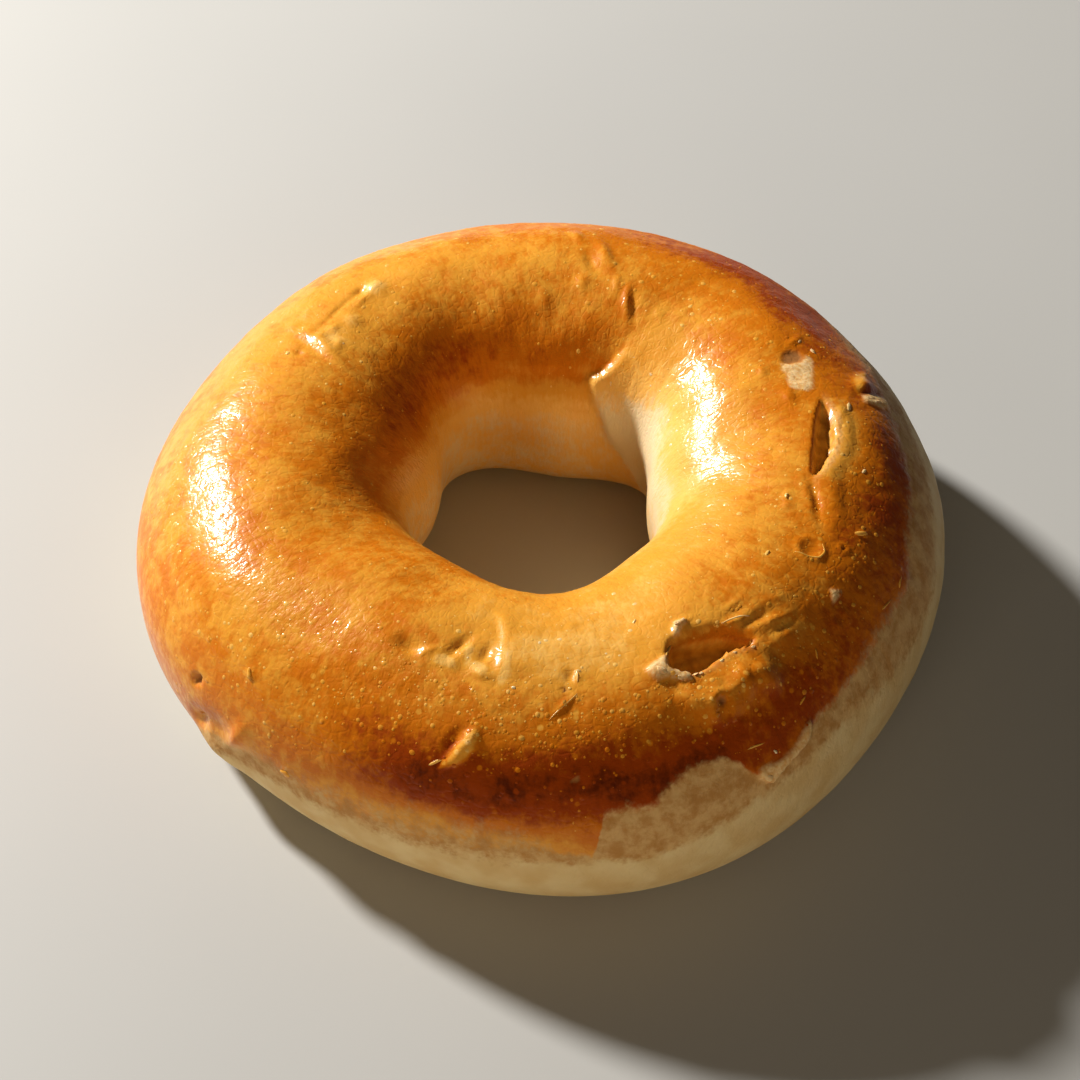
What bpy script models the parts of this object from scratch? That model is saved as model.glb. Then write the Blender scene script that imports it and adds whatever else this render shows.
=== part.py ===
"""A plain bagel, about 110 mm across: one uneven ring of baked dough that stands on its flat underside.

Run with: blender --background --python part.py, or from Blender's text editor.

World axes: +Z up with the table at Z = 0, +X to the bagel's right, and -Y towards its front.
Sizes are in millimetres. A direction is in degrees round the ring, from +X towards +Y.
"Across" is the way over the crust in millimetres from the crown of the ring, the line along its top:
positive goes outwards and down the outer side, negative goes in and down into the hole.
"""

import math

import bmesh
import bpy

MM = 0.001

# The ring
OUTER_RADIUS = 55.0
HOLE_RADIUS = 17.1
HEIGHT = 31.4

# Its section, a flattened round: the share of the height where each side is widest, and how square it is
WIDEST_OUTSIDE = 0.42
WIDEST_IN_HOLE = 0.50
TOP_SQUARENESS = 2.0
BASE_SQUARENESS = 2.8
BASE_PRESSED = 1.06

# Unevenness of a ring rolled by hand: (waves round the ring, height, direction of a crest)
OUTER_WAVES = ((2, 0.55, 100.0), (3, 0.55, 54.0), (4, 0.65, 11.0), (5, 0.25, -9.0), (6, 0.15, 0.0))
HOLE_WAVES = ((1, 1.75, 129.0), (2, 1.0, 85.0), (4, 0.55, 29.0), (5, 1.2, -22.0), (6, 0.3, -5.0))
# Soft swells of the crown: (waves round the ring, waves in a millimetre across it, height, direction
# of a crest). They die away between these two distances from the crown.
SWELLS = ((5, 0.018, 0.25, 20.0), (9, -0.030, 0.15, 75.0), (14, 0.045, 0.09, 40.0))
SWELLS_FADE = 8.0
SWELLS_END = 20.0

# Where the two ends of the dough were pressed together: the overlapping end's edge as
# (direction, across), the height of the step there and its width, the share of the height that
# stands proud, how far round it fades out, and where on the way into the hole it starts and ends
SEAM_EDGE = (
    (66.0, -4.0), (61.8, -9.0), (61.3, -11.0), (63.8, -15.2), (67.0, -17.0),
    (71.5, -18.1), (69.0, -21.0), (64.0, -25.0), (60.0, -28.0), (48.0, -33.0),
)
SEAM_HEIGHT = 1.7
SEAM_STEP = 2.2
SEAM_PROUD_SHARE = 0.35
SEAM_FADE = 34.0
SEAM_STARTS = 6.0
SEAM_FULL = 16.0
SEAM_FOOT = 9.0

# Blisters that burst in the oven, folds, dents and lumps: (direction, across, turn, half length,
# half width, height). Turn is from along the ring towards outwards, and a height below zero is a hollow.
BURST_BLISTERS = (
    (300.2, 4.9, 10.0, 6.4, 2.5, -3.4),
    (361.2, 2.4, 3.0, 7.8, 1.8, -2.9),
    (20.6, 1.5, 20.0, 3.8, 2.4, -0.9),
)
RAISED_RIMS = (
    (300.5, 8.9, 6.0, 6.5, 1.3, 0.5),
    (360.8, 5.6, 2.0, 7.6, 1.3, 0.5),
    (289.6, 5.3, 40.0, 2.3, 1.6, 0.5),
)
FOLDS = (
    (149.0, 0.8, -69.0, 5.6, 1.6, 0.6),
    (67.6, -6.3, 69.0, 3.6, 1.4, 0.5),
    (253.5, 1.2, -66.0, 3.0, 1.2, -0.7),
    (258.8, 0.9, -73.0, 2.4, 1.2, -0.6),
    (262.0, -0.6, 88.0, 5.6, 1.5, 0.6),
    (344.2, 2.0, -27.0, 4.4, 1.1, -0.6),
    (346.5, 4.0, -20.0, 4.8, 1.7, 0.5),
    (311.6, 5.8, 10.0, 3.2, 1.2, -0.5),
)
DENTS = (
    (244.4, 4.0, 10.0, 2.2, 1.6, -0.8),
    (214.3, 31.0, -50.0, 2.6, 1.9, -1.0),
    (218.4, 28.6, 0.0, 2.6, 2.2, -0.5),
    (213.5, 24.2, -55.0, 2.0, 1.5, -0.6),
)
LUMPS = (
    (77.2, 1.7, 62.0, 3.2, 1.6, 0.6),
    (80.5, -4.0, 90.0, 2.4, 1.7, 0.5),
    (127.0, 1.0, 90.0, 2.3, 1.9, 0.7),
    (138.0, -0.6, 60.0, 2.2, 1.7, 0.5),
    (15.5, 11.6, 50.0, 3.0, 2.1, 0.7),
    (222.8, 27.6, -61.0, 3.4, 1.5, 0.8),
    (217.5, 34.6, 0.0, 4.2, 2.8, 0.5),
    (303.4, 22.6, -8.0, 5.0, 1.8, 0.8),
)
RELIEF = BURST_BLISTERS + RAISED_RIMS + FOLDS + DENTS + LUMPS

# The mesh: columns round the ring stand closer on the side with the burst blisters
COLUMNS = 126
CLOSEST_AT = 325.0
CLOSENESS = 0.38
ROWS_OVER_TOP = 25
ROWS_TO_BASE = 6
ARC_STEPS = 60

# Egg-washed crust
CRUST_COLOUR = (0.62, 0.23, 0.035, 1.0)
CRUST_ROUGHNESS = 0.35


def clear_scene():
    for item in list(bpy.data.objects):
        bpy.data.objects.remove(item, do_unlink=True)


def smooth(share):
    """0 below 0, 1 above 1, and an even slope between."""
    share = min(max(share, 0.0), 1.0)
    return share * share * (3.0 - 2.0 * share)


def turn_between(first, second):
    """Degrees from one direction to another, from -180 to 180."""
    return (first - second + 180.0) % 360.0 - 180.0


def waved(radius, waves, direction):
    return radius + sum(
        height * math.cos(math.radians(count * (direction - crest))) for count, height, crest in waves
    )


def signed_power(value, power):
    return math.copysign(abs(value) ** power, value)


def flat_edge_phase():
    """The phase, in degrees past the hole side, at which the section meets its flat underside."""
    height_share = (1.0 / BASE_PRESSED) ** (BASE_SQUARENESS / 2.0)
    return math.degrees(math.asin(height_share))


def section_point(direction, phase):
    """Radius and height of the skin: phase 0 is the outer side, 90 the crown, 180 the hole, 270 the base."""
    outer = waved(OUTER_RADIUS, OUTER_WAVES, direction)
    inner = waved(HOLE_RADIUS, HOLE_WAVES, direction)
    cosine = math.cos(math.radians(phase))
    sine = math.sin(math.radians(phase))
    squareness = TOP_SQUARENESS if sine >= 0.0 else BASE_SQUARENESS
    outwards = signed_power(cosine, 2.0 / squareness)
    upwards = signed_power(sine, 2.0 / squareness)
    widest = HEIGHT * (WIDEST_OUTSIDE + (WIDEST_IN_HOLE - WIDEST_OUTSIDE) * (1.0 - outwards) / 2.0)
    radius = (outer + inner) / 2.0 + (outer - inner) / 2.0 * outwards
    if upwards >= 0.0:
        return radius, widest + (HEIGHT - widest) * upwards
    return radius, widest + widest * max(-1.0, upwards * BASE_PRESSED)


def across_of(direction, phase):
    """The way over the skin from the crown to a phase between -90 and 270."""
    way = 0.0
    last = section_point(direction, 90.0)
    for step in range(1, ARC_STEPS + 1):
        here = section_point(direction, 90.0 + (phase - 90.0) * step / ARC_STEPS)
        way += math.dist(last, here)
        last = here
    return math.copysign(way, 90.0 - phase)


def row_phases():
    """One phase for each row, from the outer edge of the flat underside over the top to its inner edge."""
    steep = flat_edge_phase()
    rows = [-steep * (1.0 - step / ROWS_TO_BASE) for step in range(ROWS_TO_BASE)]
    rows += [180.0 * step / ROWS_OVER_TOP for step in range(ROWS_OVER_TOP + 1)]
    rows += [180.0 + steep * (step + 1) / ROWS_TO_BASE for step in range(ROWS_TO_BASE)]
    return rows


def column_directions():
    directions = []
    for column in range(COLUMNS):
        even = 360.0 * column / COLUMNS
        pull = math.sin(math.radians(even - CLOSEST_AT))
        directions.append(even - math.degrees(CLOSENESS * pull))
    return directions


def spot_height(direction, across, radius, spot):
    """How far one blister, fold, dent or lump lifts the skin at a place."""
    spot_direction, spot_across, turn, half_length, half_width, height = spot
    along = math.radians(turn_between(direction, spot_direction)) * radius
    over = across - spot_across
    turned = math.radians(turn)
    lengthways = (along * math.cos(turned) + over * math.sin(turned)) / half_length
    sideways = (over * math.cos(turned) - along * math.sin(turned)) / half_width
    distance = math.hypot(lengthways, sideways)
    return height * smooth(1.4 * (1.25 - distance))


def seam_lift(direction, across, radius):
    """The overlapping end of the dough: a step at its edge, proud on one side and sunk on the other,
    that fades out both ways round."""
    if not SEAM_EDGE[-1][1] <= across <= SEAM_EDGE[0][1]:
        return 0.0
    for (start, start_across), (end, end_across) in zip(SEAM_EDGE, SEAM_EDGE[1:]):
        if end_across <= across:
            break
    share = (across - start_across) / (end_across - start_across)
    turn = turn_between(start + (end - start) * share, direction)
    depth = smooth((-across - SEAM_STARTS) / (SEAM_FULL - SEAM_STARTS))
    foot = smooth((across - SEAM_EDGE[-1][1]) / SEAM_FOOT)
    step = smooth(math.radians(turn) * radius / SEAM_STEP + 0.5)
    proud = SEAM_PROUD_SHARE * (1.0 - smooth(turn / SEAM_FADE))
    sunk = (1.0 - SEAM_PROUD_SHARE) * (1.0 - smooth(-turn / SEAM_FADE))
    return SEAM_HEIGHT * depth * foot * (step * proud - (1.0 - step) * sunk)


def relief(direction, across, radius):
    height = sum(spot_height(direction, across, radius, spot) for spot in RELIEF)
    room = smooth((SWELLS_END - abs(across)) / (SWELLS_END - SWELLS_FADE))
    for round_waves, cross_waves, swell, crest in SWELLS:
        turn = round_waves * math.radians(direction - crest) + 2.0 * math.pi * cross_waves * across
        height += swell * room * math.cos(turn)
    return height + seam_lift(direction, across, radius)


def ring_mesh():
    """The ring as a closed grid of columns and rows, with one flat strip as its underside."""
    mesh = bmesh.new()
    phases = row_phases()
    directions = column_directions()
    columns = []
    for direction in directions:
        turned = math.radians(direction)
        column = []
        for phase in phases:
            radius, height = section_point(direction, phase)
            place = (radius * math.cos(turned), radius * math.sin(turned), height)
            column.append(mesh.verts.new([value * MM for value in place]))
        columns.append(column)
    for column, following in zip(columns, columns[1:] + columns[:1]):
        for row in range(len(phases)):
            after = (row + 1) % len(phases)
            mesh.faces.new((column[row], following[row], following[after], column[after]))
    mesh.normal_update()
    for direction, column in zip(directions, columns):
        for phase, point in zip(phases[1:-1], column[1:-1]):
            radius = math.hypot(point.co.x, point.co.y) / MM
            near_base = smooth(point.co.z / MM / 4.0)
            lift = relief(direction, across_of(direction, phase), radius) * near_base
            point.co += point.normal * lift * MM
    return mesh


def stand_on_origin(mesh):
    """Move the ring so that the middle of its footprint is at X = Y = 0."""
    for axis in range(2):
        places = [point.co[axis] for point in mesh.verts]
        middle = (min(places) + max(places)) / 2.0
        for point in mesh.verts:
            point.co[axis] -= middle


def crust_material():
    material = bpy.data.materials.new("crust")
    material.use_nodes = True
    shader = material.node_tree.nodes["Principled BSDF"]
    shader.inputs["Base Color"].default_value = CRUST_COLOUR
    shader.inputs["Roughness"].default_value = CRUST_ROUGHNESS
    shader.inputs["Metallic"].default_value = 0.0
    material.diffuse_color = CRUST_COLOUR
    return material


def make_bagel():
    shape = ring_mesh()
    stand_on_origin(shape)
    mesh = bpy.data.meshes.new("bagel")
    shape.to_mesh(mesh)
    shape.free()
    mesh.materials.append(crust_material())
    mesh.shade_smooth()
    bagel = bpy.data.objects.new("bagel", mesh)
    bpy.context.scene.collection.objects.link(bagel)


clear_scene()
make_bagel()
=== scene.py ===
"""A plain egg-washed bagel on a pale floor: the baked ring with its glossy crust, pale side and burst blisters."""

import math

import bpy
import numpy as np
from mathutils import Matrix, Vector


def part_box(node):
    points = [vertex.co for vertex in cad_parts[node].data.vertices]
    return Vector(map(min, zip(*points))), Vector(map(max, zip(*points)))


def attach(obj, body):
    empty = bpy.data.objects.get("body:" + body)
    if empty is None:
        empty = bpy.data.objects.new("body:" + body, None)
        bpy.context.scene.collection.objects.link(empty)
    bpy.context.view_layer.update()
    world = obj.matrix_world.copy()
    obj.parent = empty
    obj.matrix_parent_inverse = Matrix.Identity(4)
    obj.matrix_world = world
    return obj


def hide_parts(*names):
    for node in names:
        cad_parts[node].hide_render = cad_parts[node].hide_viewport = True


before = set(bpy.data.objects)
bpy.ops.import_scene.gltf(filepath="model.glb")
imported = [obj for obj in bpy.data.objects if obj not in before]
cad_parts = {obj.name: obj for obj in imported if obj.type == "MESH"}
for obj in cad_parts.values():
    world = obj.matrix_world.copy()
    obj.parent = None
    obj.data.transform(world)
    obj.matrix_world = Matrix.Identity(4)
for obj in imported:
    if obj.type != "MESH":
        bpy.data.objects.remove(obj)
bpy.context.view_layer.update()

# Sizes are in millimetres. A direction is in degrees round the ring, from +X towards +Y, and -Y is
# the bagel's front. "Across" is the way over the crust from the crown, the line along the ring's top:
# positive goes outwards and down the outer side, negative goes in and down into the hole.
MM = 0.001
SEED = 7

# ---------------------------------------------------------------- the ring

OUTER_RADIUS = 55.0
HOLE_RADIUS = 17.1
HEIGHT = 31.4

# Its section, a flattened round: the share of the height where each side is widest, and how square it is
WIDEST_OUTSIDE = 0.42
WIDEST_IN_HOLE = 0.50
TOP_SQUARENESS = 2.0
BASE_SQUARENESS = 2.8
BASE_PRESSED = 1.06

# Unevenness of a ring rolled by hand: (waves round the ring, height, direction of a crest)
OUTER_WAVES = ((2, 0.55, 100.0), (3, 0.55, 54.0), (4, 0.65, 11.0), (5, 0.25, -9.0), (6, 0.15, 0.0))
HOLE_WAVES = ((1, 1.75, 129.0), (2, 1.0, 85.0), (4, 0.55, 29.0), (5, 1.2, -22.0), (6, 0.3, -5.0))
# Soft swells of the crown: (waves round the ring, waves in a millimetre across it, height, direction of a crest)
SWELLS = ((5, 0.018, 0.25, 20.0), (9, -0.030, 0.15, 75.0), (14, 0.045, 0.09, 40.0))
SWELLS_FADE = 8.0
SWELLS_END = 20.0

# Where the two ends of the dough were pressed together: the overlapping end's edge as (direction, across)
SEAM_EDGE = (
    (68.0, -4.0), (65.4, -7.0), (64.2, -9.0), (63.8, -11.0), (64.5, -13.2), (66.2, -15.2), (69.0, -17.0),
    (73.5, -18.1), (73.8, -18.9), (71.0, -21.0), (66.0, -25.0), (62.0, -28.0), (55.0, -31.0), (50.0, -33.0),
)
SEAM_HEIGHT = 1.2
SEAM_STEP = 1.9
SEAM_PROUD_SHARE = 0.12
SEAM_FADE = 34.0
SEAM_STARTS = 8.5
SEAM_FULL = 19.0
SEAM_FOOT = 9.0

# The lower edge of the browned crust as (direction, across, how gradually it ends). Below it the side stayed pale.
CRUST_EDGE = (
    (0.0, 15.0, 1.2), (7.0, 14.2, 1.5), (14.0, 14.5, 1.5), (21.0, 15.0, 1.5), (31.0, 14.8, 2.0),
    (50.0, 20.0, 2.5), (75.0, 24.5, 3.0), (100.0, 26.5, 3.0), (130.0, 28.0, 3.0), (165.0, 30.0, 3.0),
    (195.0, 33.0, 3.0), (207.0, 35.0, 2.0), (212.0, 34.5, 0.8), (214.0, 33.5, 0.6), (217.0, 31.3, 0.5),
    (221.0, 30.5, 0.6), (224.0, 28.5, 1.2), (230.0, 27.5, 1.6), (238.0, 27.3, 2.0), (247.0, 26.0, 2.6),
    (256.0, 25.2, 2.8), (266.0, 24.8, 2.6), (270.0, 25.6, 1.4), (271.5, 26.6, 0.5), (275.0, 27.2, 0.4),
    (276.2, 27.4, 0.4), (277.6, 21.8, 0.8), (280.5, 21.0, 0.8), (284.0, 21.3, 0.8), (287.0, 19.4, 0.8),
    (290.0, 18.0, 0.7), (294.5, 18.3, 0.5), (297.0, 20.0, 0.4), (298.6, 22.2, 0.3), (300.5, 24.3, 0.3),
    (303.0, 23.1, 0.3), (306.5, 22.6, 0.3), (308.6, 21.0, 0.3), (311.0, 20.3, 0.6), (315.0, 20.2, 0.7),
    (320.0, 19.5, 0.9), (325.0, 18.5, 1.0), (333.0, 18.2, 1.2), (340.0, 18.4, 1.0), (344.0, 16.0, 1.0),
    (350.0, 15.6, 1.2), (356.0, 15.3, 1.2),
)
# The lower edge of the thin, half-browned skin that shows under the crust, in the same way
SKIN_EDGE = (
    (0.0, 20.0, 1.5), (31.0, 18.0, 1.5), (60.0, 24.0, 2.0), (100.0, 29.0, 2.0), (165.0, 33.0, 2.0),
    (212.0, 36.5, 1.0), (221.0, 33.0, 0.8), (230.0, 30.8, 1.0), (240.0, 30.4, 1.2), (250.0, 29.6, 1.4),
    (262.0, 29.0, 1.4), (271.0, 28.6, 1.2), (277.0, 28.4, 0.8), (282.5, 29.6, 0.8), (288.0, 28.2, 1.0),
    (295.0, 26.8, 1.0), (300.0, 25.6, 0.8), (306.0, 25.0, 0.8), (313.0, 24.0, 1.0), (322.0, 24.5, 1.5),
    (333.0, 26.0, 1.5), (343.0, 25.2, 1.5), (350.0, 22.0, 1.5),
)


def smooth(share):
    """0 below 0, 1 above 1, and an even slope between."""
    share = np.clip(share, 0.0, 1.0)
    return share * share * (3.0 - 2.0 * share)


def turn_between(first, second):
    """Degrees from one direction to another, from -180 to 180."""
    return (first - second + 180.0) % 360.0 - 180.0


def waved(radius, waves, direction):
    total = np.full_like(direction, radius)
    for count, height, crest in waves:
        total += height * np.cos(np.radians(count * (direction - crest)))
    return total


def signed_power(value, power):
    return np.sign(value) * np.abs(value) ** power


def section(direction, phase):
    """Radius and height of the skin: phase 0 is the outer side, 90 the crown, 180 the hole, 270 the base."""
    outer = waved(OUTER_RADIUS, OUTER_WAVES, direction)
    inner = waved(HOLE_RADIUS, HOLE_WAVES, direction)
    cosine = np.cos(np.radians(phase))
    sine = np.sin(np.radians(phase))
    squareness = np.where(sine >= 0.0, TOP_SQUARENESS, BASE_SQUARENESS)
    outwards = signed_power(cosine, 2.0 / squareness)
    upwards = signed_power(sine, 2.0 / squareness)
    widest = HEIGHT * (WIDEST_OUTSIDE + (WIDEST_IN_HOLE - WIDEST_OUTSIDE) * (1.0 - outwards) / 2.0)
    radius = (outer + inner) / 2.0 + (outer - inner) / 2.0 * outwards
    top = widest + (HEIGHT - widest) * upwards
    base = widest + widest * np.maximum(-1.0, upwards * BASE_PRESSED)
    return radius, np.where(upwards >= 0.0, top, base)


def past_edge(edge, direction, across, wander):
    """How far past an edge line each point is, as a multiple of how gradually the edge ends there."""
    places = np.array(edge)
    line = np.interp(direction % 360.0, places[:, 0], places[:, 1], period=360.0)
    softness = np.interp(direction % 360.0, places[:, 0], places[:, 2], period=360.0)
    return (across + wander - line) / softness


# ---------------------------------------------------------------- chance relief


def lattice_noise(points, size, seed):
    """Soft random lumps from -1 to 1, about `size` millimetres across, at points in millimetres."""
    table = np.random.default_rng(seed).uniform(-1.0, 1.0, (32, 32, 32))
    cell = points / size + 100.0
    low = np.floor(cell).astype(int)
    part = cell - low
    part = part * part * (3.0 - 2.0 * part)
    total = np.zeros(points.shape[:-1])
    for corner in np.ndindex(2, 2, 2):
        share = np.ones_like(total)
        for axis in range(3):
            share *= part[..., axis] if corner[axis] else 1.0 - part[..., axis]
        where = (low + np.array(corner)) % 32
        total += share * table[where[..., 0], where[..., 1], where[..., 2]]
    return total


def layered_noise(points, size, seed, layers=3):
    total = np.zeros(points.shape[:-1])
    weight = 1.0
    for layer in range(layers):
        total += weight * lattice_noise(points, size / 2.0**layer, seed + layer)
        weight *= 0.5
    return total / (2.0 - 2.0 * weight)


# ---------------------------------------------------------------- the grid of the skin

COLUMNS = 600
CLOSEST_AT = 325.0
CLOSENESS = 0.30
# Row spacing over the skin: (from across, to across, millimetres between rows)
ROW_BANDS = (
    (-33.0, -21.0, 0.95), (-21.0, -6.0, 0.50), (-6.0, 25.0, 0.36), (25.0, 39.0, 0.78),
)
ROWS_UNDER = 14
FINE_PHASES = 1441


def column_directions():
    even = np.arange(COLUMNS) * 360.0 / COLUMNS
    return even - np.degrees(CLOSENESS * np.sin(np.radians(even - CLOSEST_AT)))


def measured_section(direction):
    """Fine phases from the middle of the base up the outer side, over the crown and down the hole,
    with the across value of each at each direction."""
    phases = np.linspace(-90.0, 270.0, FINE_PHASES)
    radius, height = section(direction[:, None] + 0.0 * phases, phases + 0.0 * direction[:, None])
    steps = np.hypot(np.diff(radius, axis=1), np.diff(height, axis=1))
    way = np.concatenate([np.zeros((len(direction), 1)), np.cumsum(steps, axis=1)], axis=1)
    crown = np.argmin(np.abs(phases - 90.0))
    return phases, way[:, crown : crown + 1] - way


def row_phases():
    """One phase for each row, closest together on the crown, all round a middling section."""
    phases, across = measured_section(np.array([150.0]))
    across = across[0]
    wanted = []
    for low, high, spacing in ROW_BANDS:
        wanted += list(np.linspace(low, high, round((high - low) / spacing), endpoint=False))
    wanted.append(ROW_BANDS[-1][1])
    over_top = np.interp(-np.array(wanted)[::-1], -across, phases)
    start, end = over_top[0] + 360.0, over_top[-1]
    under = np.linspace(end, start, ROWS_UNDER + 2)[1:-1]
    return np.concatenate([over_top, under])


class Skin:
    """The grid of the skin, one line of rows in each column: where it is, which way it faces, and its colours."""

    def __init__(self):
        self.directions = column_directions()
        phases = row_phases()
        fine, across = measured_section(self.directions)
        wrapped = np.where(phases > 270.0, phases - 360.0, phases)
        self.across = np.array([np.interp(wrapped, fine, line) for line in across])
        self.direction = self.directions[:, None] + 0.0 * phases
        self.radius, height = section(self.direction, phases + 0.0 * self.direction)
        turned = np.radians(self.direction)
        self.place = np.stack([self.radius * np.cos(turned), self.radius * np.sin(turned), height], axis=-1)
        self.smooth_place = self.place.copy()
        self.find_facing()
        self.smooth_facing = self.facing.copy()
        self.rows = len(phases)
        # small sideways wandering, so that no fold or lump is a true ellipse
        self.wander_along = 0.45 * layered_noise(self.place, 3.5, SEED + 1)
        self.wander_over = 0.45 * layered_noise(self.place, 3.5, SEED + 2)

    def find_facing(self):
        round_way = np.roll(self.place, -1, axis=0) - np.roll(self.place, 1, axis=0)
        over_way = np.roll(self.place, -1, axis=1) - np.roll(self.place, 1, axis=1)
        facing = np.cross(round_way, over_way)
        self.facing = facing / np.maximum(np.linalg.norm(facing, axis=-1, keepdims=True), 1e-9)

    def local(self, direction, across, turn=0.0):
        """Millimetres along and over the skin from a place, turned from along the ring towards outwards."""
        along = np.radians(turn_between(self.direction, direction)) * self.radius + self.wander_along
        over = self.across - across + self.wander_over
        turned = math.radians(turn)
        return (
            along * math.cos(turned) + over * math.sin(turned),
            over * math.cos(turned) - along * math.sin(turned),
        )

    def at(self, direction, across):
        """The finished skin's place and facing at a direction and across value."""
        order = np.argsort(self.directions % 360.0)
        around = (self.directions % 360.0)[order]
        upper = int(np.searchsorted(around, direction % 360.0)) % COLUMNS
        gap = turn_between(around[upper], around[upper - 1])
        share = turn_between(direction, around[upper - 1]) / gap
        found = np.zeros((2, 3))
        for column, weight in ((order[upper - 1], 1.0 - share), (order[upper], share)):
            top_rows = self.rows - ROWS_UNDER
            row = np.interp(-across, -self.across[column, :top_rows], np.arange(top_rows))
            first = min(int(row), top_rows - 2)
            part = row - first
            for layer, grid in enumerate((self.place, self.facing)):
                found[layer] += weight * (grid[column, first] * (1.0 - part) + grid[column, first + 1] * part)
        return found[0], found[1] / np.linalg.norm(found[1])


# ---------------------------------------------------------------- folds, lumps and dents

# (direction, across, turn, half length, half width, height): turn is from along the ring towards
# outwards, and a height below zero is a hollow
FOLDS = (
    # front, left of the ridge where one roll lies over the next
    (253.5, 1.2, -66.0, 2.6, 0.7, -0.55), (254.2, 2.0, -66.0, 1.9, 0.7, 0.25),
    (258.8, 0.9, -73.0, 1.9, 0.55, -0.45), (258.6, 4.4, 0.0, 1.6, 0.8, 0.35),
    (248.0, 3.8, -36.0, 2.2, 0.6, 0.28), (256.0, 4.9, 10.0, 3.0, 0.7, -0.20),
    (272.8, 7.6, -43.0, 2.4, 0.25, 0.25), (275.6, 3.4, 90.0, 1.0, 0.28, 0.28),
    (258.2, 14.0, -63.0, 3.0, 0.9, 0.40), (256.5, 13.4, -63.0, 2.4, 0.7, -0.30),
    # right of the front blister
    (307.6, 4.2, 13.0, 2.4, 0.35, 0.28), (309.6, 2.0, -4.0, 2.0, 0.35, 0.16), (308.8, 3.1, 5.0, 2.2, 0.5, -0.20),
    (313.2, 7.0, 16.0, 2.8, 0.45, 0.28), (311.6, 5.6, 10.0, 2.8, 0.7, -0.32), (314.4, 8.6, 8.0, 2.4, 0.5, -0.20),
    (311.5, 9.6, 10.0, 3.4, 0.9, 0.25), (298.0, 0.3, 0.0, 1.3, 0.45, 0.40), (317.0, 5.2, 22.0, 2.2, 0.4, 0.14),
    # left of the right-hand blister
    (344.2, 2.0, -27.0, 3.8, 0.6, -0.38), (346.5, 4.0, -20.0, 4.8, 1.7, 0.38), (343.0, 1.1, -27.0, 3.5, 0.6, 0.12),
    # beyond its rim
    (6.0, 5.0, 15.0, 4.0, 0.45, 0.14), (8.0, 6.0, 20.0, 3.4, 0.4, -0.10), (11.0, 6.9, 25.0, 3.5, 0.45, 0.20),
    (13.2, 7.9, 25.0, 3.0, 0.4, -0.16), (15.5, 8.7, 25.0, 3.0, 0.45, 0.18),
    (30.2, 4.2, 65.0, 1.8, 0.35, 0.28),
    # at the back, above the seam
    (77.2, 1.7, 62.0, 3.2, 0.8, 0.50), (79.6, 0.2, 62.0, 2.6, 0.6, -0.32), (83.4, 5.0, 65.0, 1.8, 0.6, 0.28),
    (80.5, -4.0, 90.0, 1.8, 1.1, 0.35), (67.8, -6.2, 69.0, 3.0, 0.6, 0.40), (66.0, -6.6, 69.0, 2.6, 0.6, -0.28),
    (72.2, -3.4, 69.0, 1.4, 0.6, 0.28), (58.6, -6.6, 40.0, 1.4, 0.4, 0.20), (90.0, -7.0, 80.0, 2.4, 1.0, 0.22),
    # at the back on the left
    (147.8, 0.2, -69.0, 4.6, 0.9, 0.45), (150.4, 1.4, -69.0, 4.0, 0.8, -0.32), (131.8, 0.4, 0.0, 1.7, 0.6, 0.30),
    (138.0, 2.2, 3.0, 6.0, 0.5, -0.22),
)
DENTS = (
    (244.4, 4.0, 10.0, 2.0, 1.2, -0.65), (274.3, 3.4, 80.0, 1.1, 0.8, -0.35), (130.3, 2.2, 0.0, 0.8, 0.6, -0.45),
    (152.8, 2.5, -40.0, 0.9, 0.6, -0.35), (214.3, 31.0, -50.0, 2.0, 1.5, -1.0), (218.4, 28.6, 0.0, 2.4, 2.0, -0.45),
)
LUMPS = (
    (127.0, 1.0, 90.0, 1.8, 1.5, 0.60), (138.0, -0.6, 60.0, 1.6, 1.1, 0.38), (143.0, 0.5, 0.0, 0.8, 0.8, 0.38),
    (146.0, -1.6, 0.0, 0.8, 0.7, 0.30), (145.8, 1.0, 0.0, 0.8, 0.7, 0.30), (141.6, 6.0, 0.0, 0.8, 0.9, 0.22),
    (145.5, 6.3, 0.0, 0.9, 0.9, 0.22), (222.8, 27.6, -61.0, 3.3, 1.1, 0.80), (217.5, 34.6, 0.0, 4.2, 2.6, 0.85),
    (232.4, 27.5, 0.0, 0.9, 0.7, 0.45), (222.3, 17.5, 60.0, 0.9, 0.6, 0.30), (289.5, 5.2, 20.0, 1.9, 1.4, 0.35), (17.0, 11.6, 50.0, 2.3, 1.6, 0.75),
    (340.5, 9.3, 60.0, 1.0, 0.5, 0.28), (24.5, -2.6, 0.0, 1.0, 0.5, 0.25),
    (14.6, -0.6, 0.0, 1.6, 0.8, 0.30), (343.2, -1.8, 0.0, 0.7, 0.4, 0.22), (340.5, -1.4, 0.0, 0.8, 0.5, 0.20),
)
# Blisters that dried flat, with a proud ring and a sunk middle: (direction, across, radius, height, sink)
RING_BLISTERS = (
    (296.9, 12.8, 1.9, 0.22, 0.22), (335.5, 8.2, 0.75, 0.18, 0.08), (331.8, 4.3, 2.0, 0.20, 0.22),
    (299.8, 14.8, 1.1, 0.15, 0.05), (313.2, 15.4, 1.0, 0.12, 0.05), (323.6, 13.0, 1.3, 0.12, 0.06),
    (301.6, 17.8, 1.2, 0.14, 0.05), (293.6, 16.2, 1.3, 0.14, 0.10),
)
# The curved ridge in front of the hole, where one roll of the dough lies over the next, as
# (direction, across), and how far the step falls away behind it
FRONT_RIDGE = ((257.2, -7.4), (260.3, -4.8), (262.0, -1.6), (262.0, 0.6), (261.6, 3.0), (262.8, 4.6))
FRONT_RIDGE_HEIGHT = 0.38
FRONT_RIDGE_FALL = 7.0


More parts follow.
